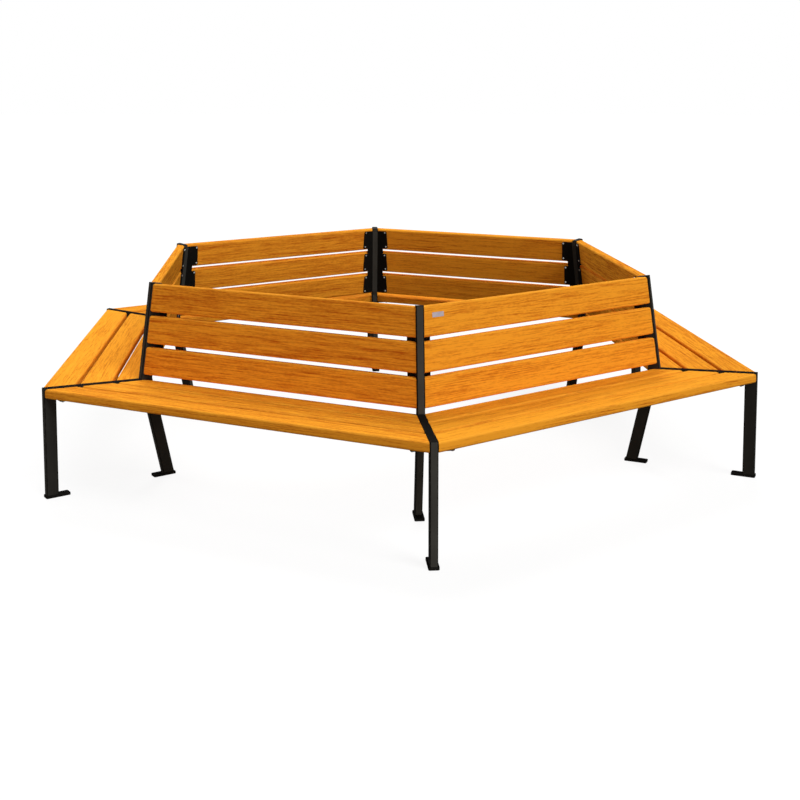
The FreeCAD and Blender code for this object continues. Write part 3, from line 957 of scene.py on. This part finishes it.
def add_screw_head(mesh, island, towards):
    """Add a head over its solid. Towards is roughly the way the head looks."""
    faces = [face for vert in island for face in vert.link_faces]
    axis = max(faces, key=lambda face: face.calc_area()).normal.copy()
    if axis.dot(towards) < 0:
        axis.negate()
    low, high = reach([vert.co for vert in island], axis)
    centre = sum((vert.co for vert in island), Vector()) / len(island)
    base = centre - axis * (centre.dot(axis) - low)
    to_corner = island[0].co - centre
    to_corner = to_corner - axis * to_corner.dot(axis)
    across, over = to_corner.normalized(), axis.cross(to_corner.normalized())
    half_width = to_corner.length * math.cos(math.radians(hexagon_half_angle))
    crown = half_width * crown_share
    top = high - low
    rings = [[], [], [], []]
    for k in range(head_points):
        degrees = 360 / head_points * k
        angle = math.radians(degrees)
        outwards = across * math.cos(angle) + over * math.sin(angle)
        from_flat = math.radians(degrees % (2 * hexagon_half_angle) - hexagon_half_angle)
        to_side = half_width / math.cos(from_flat)
        shoulder = top - (to_side - crown) * math.tan(cone_angle)
        profile = (
            (to_side, 0.0), (to_side, shoulder), (crown, top), (crown * crown_top_share, top))
        for ring, (radius, height) in zip(rings, profile):
            ring.append(base + outwards * radius + axis * height)
    skin_rings(mesh, rings)


def make_screws(node, name, towards_of):
    """Make all the heads of one node. Towards_of gives the way that a head at a place looks."""
    solids = skin_of([node])
    mesh = bmesh.new()
    mesh.verts.layers.float.new("edge_wear_and_highlight")
    for island in islands(solids):
        add_screw_head(mesh, island, towards_of(island[0].co))
    solids.free()
    return to_piece(mesh, name, zinc, [node], smooth_below=20)


def towards_middle(place):
    """Return the level direction from a place to the middle of the ring."""
    return Vector((-place.x, -place.y, 0))


def downwards(place):
    """Return the direction down, which is the same at every place."""
    return -straight_up


back_screws = make_screws("back_screws", "back_screw_heads", towards_middle)
seat_screws = make_screws("seat_screws", "seat_screw_heads", downwards)
for screws in (back_screws, seat_screws):
    print(screws.name, len(screws.data.vertices) // (4 * head_points), "heads")

# %% [markdown]
# The bench stands on a plain pale floor in soft light. Each lamp is a sun as broad as a cloudy
# patch of sky, so its shadows have no hard edge. The strongest stands high at the front right and
# models the faces, a slightly warm one low at the front lights the noses of the seats, and two
# behind light the far seats. A pale world fills the rest. The floor looks white to the camera and
# in reflections, but it still takes the bench's shadow: its own colour, which the lamps light, is
# added to a glow that only the camera and reflections see.

# %% Studio
floor_radius, floor_points = 60.0, 96
floor_level = -0.0005
floor_grey, floor_glow = (0.13, 0.13, 0.13), 0.90
world_fill = 0.06
lamp_breadth = 28
white = (1.0, 1.0, 1.0)


def seen_in(start, *rays):
    """Return 1 where light is seen by one of these kinds of ray, and 0 elsewhere."""
    seen, *others = [start.node("ShaderNodeLightPath", output=f"Is {ray} Ray") for ray in rays]
    for other in others:
        seen = start.maths("MAXIMUM", seen, other)
    return seen


def make_floor():
    """Lay a large pale floor that shows white to the camera and keeps the shadow."""
    material, start = new_finish("studio_floor")
    diffuse = start.node("ShaderNodeBsdfDiffuse", None, {"Color": (*floor_grey, 1.0)})
    strength = seen_in(start, "Camera", "Glossy") * floor_glow
    glow = start.node("ShaderNodeEmission", None, {"Color": (*white, 1.0), "Strength": strength})
    both = start.node("ShaderNodeAddShader", None, {0: diffuse, 1: glow})
    start.node("ShaderNodeOutputMaterial", None, {"Surface": both})
    mesh = bmesh.new()
    bmesh.ops.create_circle(mesh, cap_ends=True, segments=floor_points, radius=floor_radius)
    data = bpy.data.meshes.new("studio_floor")
    mesh.to_mesh(data)
    mesh.free()
    data.materials.append(material)
    floor = bpy.data.objects.new("studio_floor", data)
    floor.location.z = floor_level
    bpy.context.scene.collection.objects.link(floor)


def make_world():
    """Fill the space with pale light, and show it white to the camera and in reflections."""
    world = bpy.data.worlds.new("studio_world")
    bpy.context.scene.world = world
    world.use_nodes = True
    world.node_tree.nodes.clear()
    start = Wire(world.node_tree)
    strength = spread(seen_in(start, "Camera", "Glossy", "Transmission"), world_fill, 1.0)
    sky = start.node("ShaderNodeBackground", None, {"Color": (*white, 1.0), "Strength": strength})
    start.node("ShaderNodeOutputWorld", None, {"Surface": sky})


def add_lamp(name, turn, rise, strength, colour=white):
    """Add a broad lamp so many degrees to the right of the front and above the floor."""
    turn, rise = math.radians(turn), math.radians(rise)
    lamp = bpy.data.lights.new(name, "SUN")
    lamp.energy = strength
    lamp.color = colour
    lamp.angle = math.radians(lamp_breadth)
    holder = bpy.data.objects.new(name, lamp)
    level = math.cos(rise)
    to_lamp = Vector((math.sin(turn) * level, -math.cos(turn) * level, math.sin(rise)))
    holder.rotation_euler = to_lamp.to_track_quat("Z", "Y").to_euler()
    bpy.context.scene.collection.objects.link(holder)


make_floor()
make_world()
add_lamp("low_front_lamp", turn=0, rise=12, strength=0.93, colour=(1.0, 0.77, 0.62))
add_lamp("front_right_lamp", turn=46, rise=50, strength=2.0)
add_lamp("back_lamp", turn=180, rise=50, strength=1.95)
add_lamp("back_left_lamp", turn=225, rise=20, strength=1.05)

# %% [markdown]
# The camera stands where the photograph was taken from: 5.4 metres from the middle of the ring, a
# little left of the front corner, at the eye height of someone who stands, looking slightly down.
# Its place, its lens and the way it looks were fitted to edges of the bench in the photograph.

# %% Camera
camera_place = Vector((-0.45282, -5.40545, 1.63317))
camera_forward = Vector((0.08695778, 0.96033311, -0.26495031))
camera_up = Vector((0.0231981, 0.2639336, 0.9642618))
lens_millimetres, sensor_millimetres = 51.838, 36.0


def make_camera():
    """Set up the camera, whose own axes run right, up and backwards."""
    data = bpy.data.cameras.new("camera")
    data.sensor_width = sensor_millimetres
    data.lens = lens_millimetres
    camera = bpy.data.objects.new("camera", data)
    right = camera_forward.cross(camera_up).normalized()
    up = right.cross(camera_forward).normalized()
    turn = Matrix((right, up, -camera_forward.normalized())).transposed()
    camera.matrix_world = Matrix.Translation(camera_place) @ turn.to_4x4()
    bpy.context.scene.collection.objects.link(camera)
    bpy.context.scene.camera = camera


make_camera()
bpy.context.scene.view_settings.view_transform = "Standard"
print("camera at", [round(value, 3) for value in camera_place])
